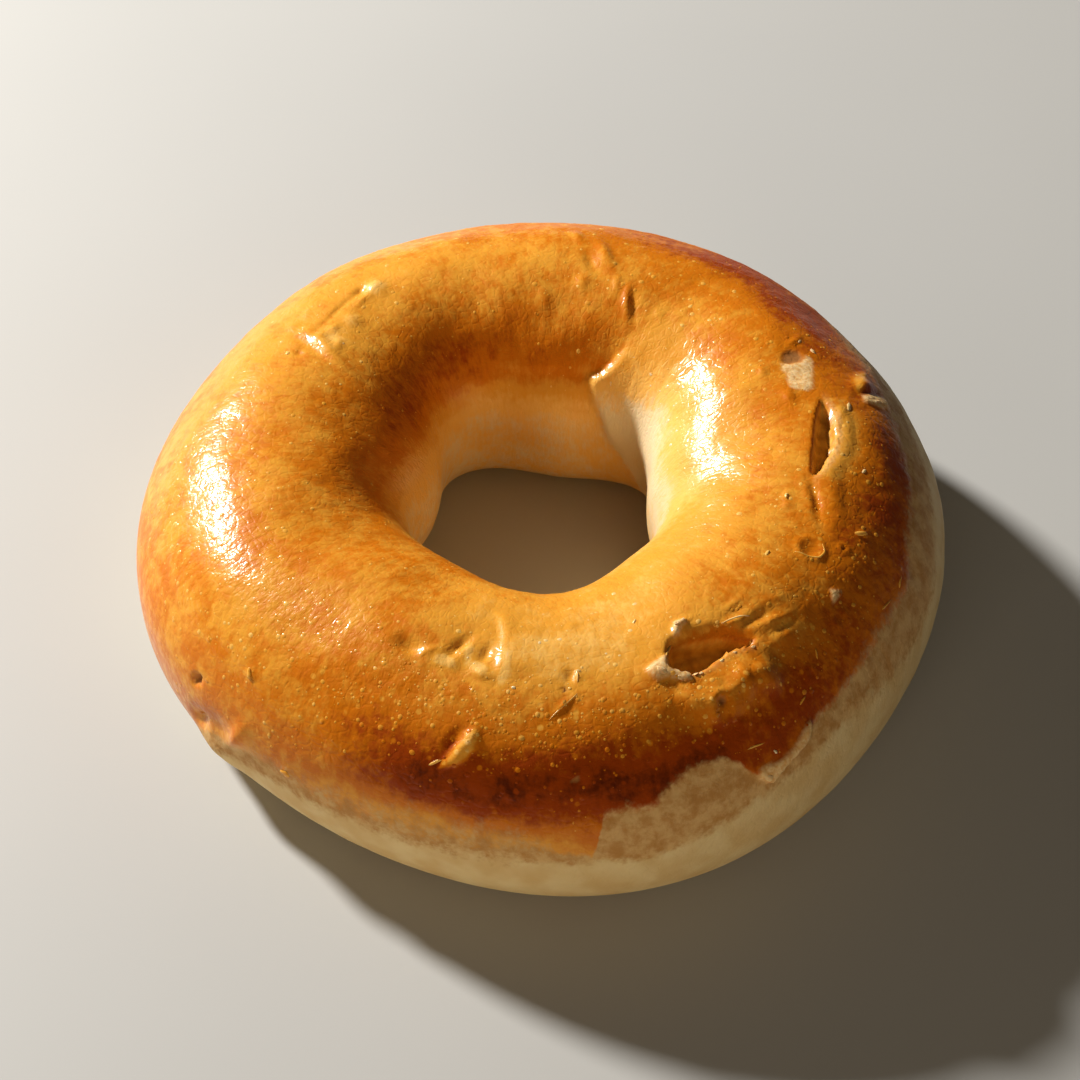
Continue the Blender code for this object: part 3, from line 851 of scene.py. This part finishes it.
def dome_faces(start, sides, rings):
    faces = []
    for ring in range(rings - 1):
        for corner in range(sides):
            lower = start + ring * sides
            after = (corner + 1) % sides
            faces.append((lower + corner, lower + after, lower + sides + after, lower + sides + corner))
    top_ring = start + (rings - 1) * sides
    for corner in range(sides):
        faces.append((top_ring + corner, top_ring + (corner + 1) % sides, top_ring + sides))
    return faces


def crumb_piece(skin, material):
    chance = np.random.default_rng(SEED + 120)
    points, faces = [], []
    for direction, across, turn, *half_sizes in CRUMB_LUMPS:
        faces += dome_faces(len(points), 14, 6)
        points += dome_points(skin, direction, across, turn, half_sizes, 0.35, 14, 6, chance)
    return mesh_piece("torn_crumb", points, faces, material)


def flake_piece(skin, material):
    chance = np.random.default_rng(SEED + 130)
    points, faces, brown = [], [], []
    for direction, across, turn, half_length, half_width, browned in FLAKES:
        faces += dome_faces(len(points), 9, 3)
        made = dome_points(skin, direction, across, turn, (half_length, half_width, 0.16), 0.3, 9, 3, chance)
        points += made
        brown += [browned] * len(made)
    for line, half_width, half_thickness, stand_off, browned in CRUST_LIPS:
        made = lip_points(skin, line, half_width, half_thickness, stand_off)
        faces += lip_faces(len(points), len(made) // LIP_SIDES)
        points += made
        brown += [browned] * len(made)
    piece = mesh_piece("crust_flakes", points, faces, material)
    add_share(piece, "browning_and_painted_light", np.array(brown))
    for name in ("past_crust", "past_skin"):
        add_share(piece, name, np.full(len(brown), -5.0))
    return piece


LIP_SIDES = 8
LIP_SPACING = 0.25


def lip_points(skin, line, half_width, half_thickness, stand_off):
    """Rings of corners along a thin raised lip that narrows to both ends."""
    places = np.array(line)
    degree = math.radians(1.0) * float(section(places[:1, 0], np.array([60.0]))[0][0])
    steps = np.hypot(np.diff(places[:, 0]) * degree, np.diff(places[:, 1]))
    way = np.concatenate([[0.0], np.cumsum(steps)])
    count = max(6, round(way[-1] / LIP_SPACING))
    stops = np.linspace(0.0, way[-1], count)
    found = [skin.at(d, a) for d, a in zip(np.interp(stops, way, places[:, 0]), np.interp(stops, way, places[:, 1]))]
    spine = np.array([place for place, _ in found])
    facing = np.array([up for _, up in found])
    spine[1:-1] = (spine[:-2] + spine[1:-1] + spine[2:]) / 3.0
    tangent = np.gradient(spine, axis=0)
    tangent /= np.linalg.norm(tangent, axis=1, keepdims=True)
    beside = np.cross(facing, tangent)
    taper = np.sqrt(np.clip(1.0 - np.linspace(-1.0, 1.0, count) ** 2, 0.02, 1.0))
    taper = taper * (1.0 + 0.25 * layered_noise(spine, 0.8, SEED + 140))
    points = []
    for stop in range(count):
        for side in range(LIP_SIDES):
            turned = 2.0 * math.pi * side / LIP_SIDES
            reach = beside[stop] * (half_width * taper[stop] * math.cos(turned))
            rise = facing[stop] * (half_thickness * taper[stop] * math.sin(turned) + stand_off)
            points.append(spine[stop] + reach + rise)
    return points


def lip_faces(start, count):
    faces = [tuple(start + side for side in reversed(range(LIP_SIDES)))]
    for stop in range(count - 1):
        for side in range(LIP_SIDES):
            after = (side + 1) % LIP_SIDES
            lower = start + stop * LIP_SIDES
            faces.append((lower + side, lower + after, lower + LIP_SIDES + after, lower + LIP_SIDES + side))
    last = start + (count - 1) * LIP_SIDES
    faces.append(tuple(last + side for side in range(LIP_SIDES)))
    return faces


# ---------------------------------------------------------------- materials


def tone(code):
    """An sRGB hex colour as linear red, green, blue and alpha."""
    parts = [int(code[place : place + 2], 16) / 255.0 for place in (1, 3, 5)]
    return tuple(p / 12.92 if p <= 0.04045 else ((p + 0.055) / 1.055) ** 2.4 for p in parts) + (1.0,)


def node(tree, kind, inputs=None, **settings):
    """One node with its settings, and a value or another node's socket for each input."""
    made = tree.nodes.new(kind)
    for name, value in settings.items():
        setattr(made, name, value)
    for name, value in (inputs or {}).items():
        if isinstance(value, bpy.types.NodeSocket):
            tree.links.new(value, made.inputs[name])
        else:
            made.inputs[name].default_value = value
    return made


def noise_of(tree, vector, size_mm, detail=2.0, roughness=0.5):
    """Soft noise from 0 to 1 with lumps of about a size in millimetres."""
    settings = {"Vector": vector, "Scale": 1.0 / (size_mm * MM), "Detail": detail, "Roughness": roughness}
    return node(tree, "ShaderNodeTexNoise", settings).outputs["Fac"]


def ranged_in(tree, value, low, high, to_low=0.0, to_high=1.0):
    settings = {"Value": value, "From Min": low, "From Max": high, "To Min": to_low, "To Max": to_high}
    return node(tree, "ShaderNodeMapRange", settings, interpolation_type="SMOOTHSTEP").outputs["Result"]


def blend_in(tree, amount, under, over):
    return node(tree, "ShaderNodeMix", {0: amount, 6: under, 7: over}, data_type="RGBA").outputs[2]


def noise_shift(tree, vector, size_mm, reach_mm):
    """A small push in a chance direction at each place, to bend a pattern."""
    settings = {"Vector": vector, "Scale": 1.0 / (size_mm * MM), "Detail": 1.0}
    colour = node(tree, "ShaderNodeTexNoise", settings).outputs["Color"]
    middle = node(tree, "ShaderNodeVectorMath", {0: colour, 1: (0.5, 0.5, 0.5)}, operation="SUBTRACT").outputs[0]
    reach = node(tree, "ShaderNodeVectorMath", {0: middle}, operation="SCALE")
    reach.inputs["Scale"].default_value = 2.0 * reach_mm * MM
    return reach.outputs[0]


def open_crumb():
    """Torn wheat crumb: soft, matt and pale, with small open holes that break its surface."""
    material = bpy.data.materials.new("open_crumb")
    material.use_nodes = True
    tree = material.node_tree
    shader = tree.nodes["Principled BSDF"]
    place = node(tree, "ShaderNodeTexCoord").outputs["Object"]
    fine = noise_of(tree, place, 0.45)
    pale = blend_in(tree, ranged_in(tree, fine, 0.3, 0.7), tone("#F3D09A"), tone("#E6B277"))
    tree.links.new(pale, shader.inputs["Base Color"])
    shader.inputs["Roughness"].default_value = 0.65
    shader.inputs["IOR"].default_value = 1.40
    shader.inputs["Specular IOR Level"].default_value = 0.25
    shader.inputs["Subsurface Weight"].default_value = 0.15
    shader.inputs["Subsurface Radius"].default_value = (1.0, 0.45, 0.15)
    shader.inputs["Subsurface Scale"].default_value = 1.5 * MM
    bump = node(tree, "ShaderNodeBump", {"Height": fine, "Strength": 0.5, "Distance": 0.08 * MM})
    tree.links.new(bump.outputs["Normal"], shader.inputs["Normal"])
    return material


# Browning of an egg-washed crust, from pale dough to the darkest spots: (browning, colour)
BROWNING_COLOURS = (
    (0.00, "#E8D2A6"),
    (0.25, "#F0B85C"),
    (0.45, "#E29B32"),
    (0.62, "#CE720A"),
    (0.80, "#9C3D02"),
    (1.00, "#541B01"),
)


def egg_washed_crust():
    """Egg-washed wheat crust: a brown, mottled bread skin under a thin hard glaze that catches the light
    in sparkles on tiny blisters; lower down it stops at the pale, satin side of the dough."""
    material = bpy.data.materials.new("egg_washed_crust")
    material.use_nodes = True
    tree = material.node_tree
    shader = tree.nodes["Principled BSDF"]
    place = node(tree, "ShaderNodeTexCoord").outputs["Object"]

    def share(name):
        return node(tree, "ShaderNodeAttribute", attribute_name=name).outputs["Fac"]

    def noise(size_mm, detail=2.0, roughness=0.5, vector=place):
        return noise_of(tree, vector, size_mm, detail, roughness)

    def ranged(value, low, high, to_low=0.0, to_high=1.0):
        return ranged_in(tree, value, low, high, to_low, to_high)

    def math_of(operation, first, second):
        return node(tree, "ShaderNodeMath", {0: first, 1: second}, operation=operation).outputs[0]

    def blend(amount, under, over):
        return blend_in(tree, amount, under, over)

    coarse, middling, fine = noise(5.0), noise(1.6), noise(0.55)
    # the same skin laid out round and over the ring, squeezed so that patterns stretch over it
    ring = node(tree, "ShaderNodeAttribute", attribute_name="over_ring").outputs["Vector"]
    drawn = node(tree, "ShaderNodeMapping", {"Vector": ring, "Scale": (1.0, 1.0, 0.38)}).outputs["Vector"]
    wrinkles = noise(0.8, 3.0, 0.6, drawn)

    # mottling of the crust at 5 mm, 1.6 mm and 0.55 mm, and streaks that run over the ring
    brown = share("browning_and_painted_light")
    for pattern, depth in ((coarse, 0.08), (middling, 0.06), (fine, 0.03)):
        brown = math_of("ADD", brown, ranged(pattern, 0.3, 0.7, -depth / 2.0, depth / 2.0))
    brown = math_of("ADD", brown, ranged(wrinkles, 0.3, 0.7, 0.03, -0.03))
    dots = node(tree, "ShaderNodeTexVoronoi", {"Vector": place, "Scale": 1.0 / (1.5 * MM)})
    chosen = node(tree, "ShaderNodeSeparateColor", {"Color": dots.outputs["Color"]}).outputs[0]
    spots = math_of("MULTIPLY", ranged(dots.outputs["Distance"], 0.14, 0.34, 1.0, 0.0), ranged(chosen, 0.5, 0.9))
    brown = math_of("SUBTRACT", brown, math_of("MULTIPLY", spots, math_of("MULTIPLY", share("spotted"), 0.22)))
    colour = tone(BROWNING_COLOURS[0][1])
    for (low, _), (high, code) in zip(BROWNING_COLOURS, BROWNING_COLOURS[1:]):
        colour = blend(ranged(brown, low, high), colour, tone(code))

    # the half-browned skin, the pale side with its drawn-out streaks, and the open crumb
    fray = math_of("ADD", ranged(middling, 0.25, 0.75, -0.45, 0.45), ranged(fine, 0.25, 0.75, -0.3, 0.3))
    past_crust = ranged(math_of("ADD", share("past_crust"), fray), -1.0, 1.0)
    streak = ranged(noise(2.2, 5.0, 0.65), 0.35, 0.65)
    thin_skin = blend(streak, tone("#B8864A"), tone("#D2AA70"))
    past_skin = ranged(math_of("ADD", share("past_skin"), fray), -1.0, 1.0)
    dough = blend(ranged(coarse, 0.3, 0.7), tone("#E3C993"), tone("#D6B47A"))
    side = blend(past_skin, thin_skin, dough)
    colour = blend(past_crust, colour, side)
    crumb = share("crumb")
    colour = blend(crumb, colour, blend(ranged(fine, 0.3, 0.7), tone("#EFCB92"), tone("#DDA864")))
    hollow = share("hollow")
    colour = blend(hollow, colour, blend(ranged(middling, 0.3, 0.7), tone("#E0AC46"), tone("#BE8830")))
    pit = share("pit")
    colour = blend(pit, colour, tone("#A8703C"))
    tree.links.new(colour, shader.inputs["Base Color"])

    # gloss: the glaze lies on the crust alone
    bare = math_of("MAXIMUM", math_of("MAXIMUM", past_crust, crumb), math_of("MAXIMUM", hollow, pit))
    bare = math_of("MAXIMUM", bare, share("unglazed"))
    patchy = ranged(middling, 0.35, 0.65, 0.34, 0.50)
    roughness = node(tree, "ShaderNodeMix", {0: bare, 2: patchy, 3: 0.62}, data_type="FLOAT").outputs[0]
    tree.links.new(roughness, shader.inputs["Roughness"])
    tree.links.new(ranged(bare, 0.0, 1.0, 0.42, 0.02), shader.inputs["Coat Weight"])
    shader.inputs["Coat Roughness"].default_value = 0.19
    shader.inputs["Coat IOR"].default_value = 1.48
    shader.inputs["IOR"].default_value = 1.40
    shader.inputs["Specular IOR Level"].default_value = 0.14
    shader.inputs["Subsurface Weight"].default_value = 0.10
    shader.inputs["Subsurface Radius"].default_value = (1.0, 0.45, 0.15)
    shader.inputs["Subsurface Scale"].default_value = 1.5 * MM

    # relief too fine for the mesh: short wrinkles over the ring, and the glaze's crackle in 1.1 mm cells
    bent = node(
        tree, "ShaderNodeVectorMath", {0: ring, 1: noise_shift(tree, place, 1.5, 0.5)}, operation="ADD"
    ).outputs[0]
    cells = node(
        tree, "ShaderNodeTexVoronoi", {"Vector": bent, "Scale": 1.0 / (1.15 * MM)}, feature="DISTANCE_TO_EDGE"
    )
    plates = ranged(cells.outputs["Distance"], 0.0, 0.22, 0.0, 0.6)
    relief = math_of("ADD", plates, math_of("MULTIPLY", wrinkles, math_of("MULTIPLY", share("wrinkled"), 4.0)))
    relief = math_of("ADD", relief, math_of("MULTIPLY", fine, 0.4))
    bump = node(tree, "ShaderNodeBump", {"Height": relief, "Strength": 0.7, "Distance": 0.045 * MM})
    tree.links.new(bump.outputs["Normal"], shader.inputs["Normal"])
    tree.links.new(bump.outputs["Normal"], shader.inputs["Coat Normal"])
    return material


def pale_floor():
    """Matt pale tabletop paint: an even, slightly warm white with a grain too faint to see as a pattern."""
    material = bpy.data.materials.new("pale_floor")
    material.use_nodes = True
    tree = material.node_tree
    shader = tree.nodes["Principled BSDF"]
    place = node(tree, "ShaderNodeTexCoord").outputs["Object"]
    grain = node(tree, "ShaderNodeTexNoise", {"Vector": place, "Scale": 1.0 / (60.0 * MM), "Detail": 2.0})
    colour = node(
        tree, "ShaderNodeMix",
        {0: grain.outputs["Fac"], 6: tone("#BEBEBB"), 7: tone("#B9B9B6")},
        data_type="RGBA",
    )
    tree.links.new(colour.outputs[2], shader.inputs["Base Color"])
    shader.inputs["Roughness"].default_value = 0.55
    return material


# ---------------------------------------------------------------- floor, light and camera

FLOOR_SIDE = 3.0
KEY_WAY = Vector((-0.65, 0.55, 0.53)).normalized()
KEY_DISTANCE = 0.9
KEY_SIDE = 0.10
KEY_POWER = 15.5
WORLD_GREY = 0.055
FILL_PLACE = (-0.15, -0.86, 0.24)
FILL_WIDTH = 0.8
FILL_HEIGHT = 0.2
FILL_POWER = 2.7
CAMERA_HEIGHT_ANGLE = 47.2
CAMERA_DISTANCE = 400.0
CAMERA_LENS = 97.6
CAMERA_TARGET = (-0.2, -1.1, 14.0)


def lay_floor():
    mesh = bpy.data.meshes.new("floor")
    half = FLOOR_SIDE / 2.0
    corners = [(-half, -half, 0.0), (half, -half, 0.0), (half, half, 0.0), (-half, half, 0.0)]
    mesh.from_pydata(corners, [], [(0, 1, 2, 3)])
    mesh.materials.append(pale_floor())
    floor = bpy.data.objects.new("floor", mesh)
    bpy.context.scene.collection.objects.link(floor)


def aim(item, place, target):
    item.location = place
    item.rotation_euler = (Vector(target) - Vector(place)).to_track_quat("-Z", "Y").to_euler()


def set_lights():
    key = bpy.data.lights.new("key", "AREA")
    key.shape = "DISK"
    key.size = KEY_SIDE
    key.energy = KEY_POWER
    key.color = (1.0, 0.965, 0.92)
    lamp = bpy.data.objects.new("key", key)
    bpy.context.scene.collection.objects.link(lamp)
    aim(lamp, KEY_WAY * KEY_DISTANCE, (0.0, 0.0, 0.015))
    fill = bpy.data.lights.new("fill", "AREA")
    fill.shape = "RECTANGLE"
    fill.size = FILL_WIDTH
    fill.size_y = FILL_HEIGHT
    fill.energy = FILL_POWER
    fill.color = (1.0, 0.84, 0.62)
    card = bpy.data.objects.new("fill", fill)
    bpy.context.scene.collection.objects.link(card)
    aim(card, FILL_PLACE, (0.0, 0.0, 0.015))
    # only a soft lift of the shade, without a reflection in the glaze
    card.visible_glossy = False
    world = bpy.data.worlds.new("studio")
    world.use_nodes = True
    backdrop = world.node_tree.nodes["Background"]
    backdrop.inputs["Color"].default_value = (1.0, 0.84, 0.66, 1.0)
    backdrop.inputs["Strength"].default_value = WORLD_GREY
    bpy.context.scene.world = world
    bpy.context.scene.view_settings.view_transform = "Standard"


def set_camera():
    lens = bpy.data.cameras.new("camera")
    lens.lens = CAMERA_LENS
    lens.sensor_width = 36.0
    lens.clip_start = 0.01
    camera = bpy.data.objects.new("camera", lens)
    bpy.context.scene.collection.objects.link(camera)
    tilt = math.radians(CAMERA_HEIGHT_ANGLE)
    target = Vector(CAMERA_TARGET) * MM
    back = Vector((0.0, -math.cos(tilt), math.sin(tilt))) * CAMERA_DISTANCE * MM
    aim(camera, target + back, target)
    bpy.context.scene.camera = camera


crust = egg_washed_crust()
skin = bake_skin()
fit_to_cad(skin)
pieces = (
    bread_piece(skin, crust),
    pinhead_piece(skin, crust),
    flake_piece(skin, crust),
    crumb_piece(skin, open_crumb()),
)
for piece in pieces:
    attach(piece, "root")
    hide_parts("bagel")

lay_floor()
set_lights()
set_camera()
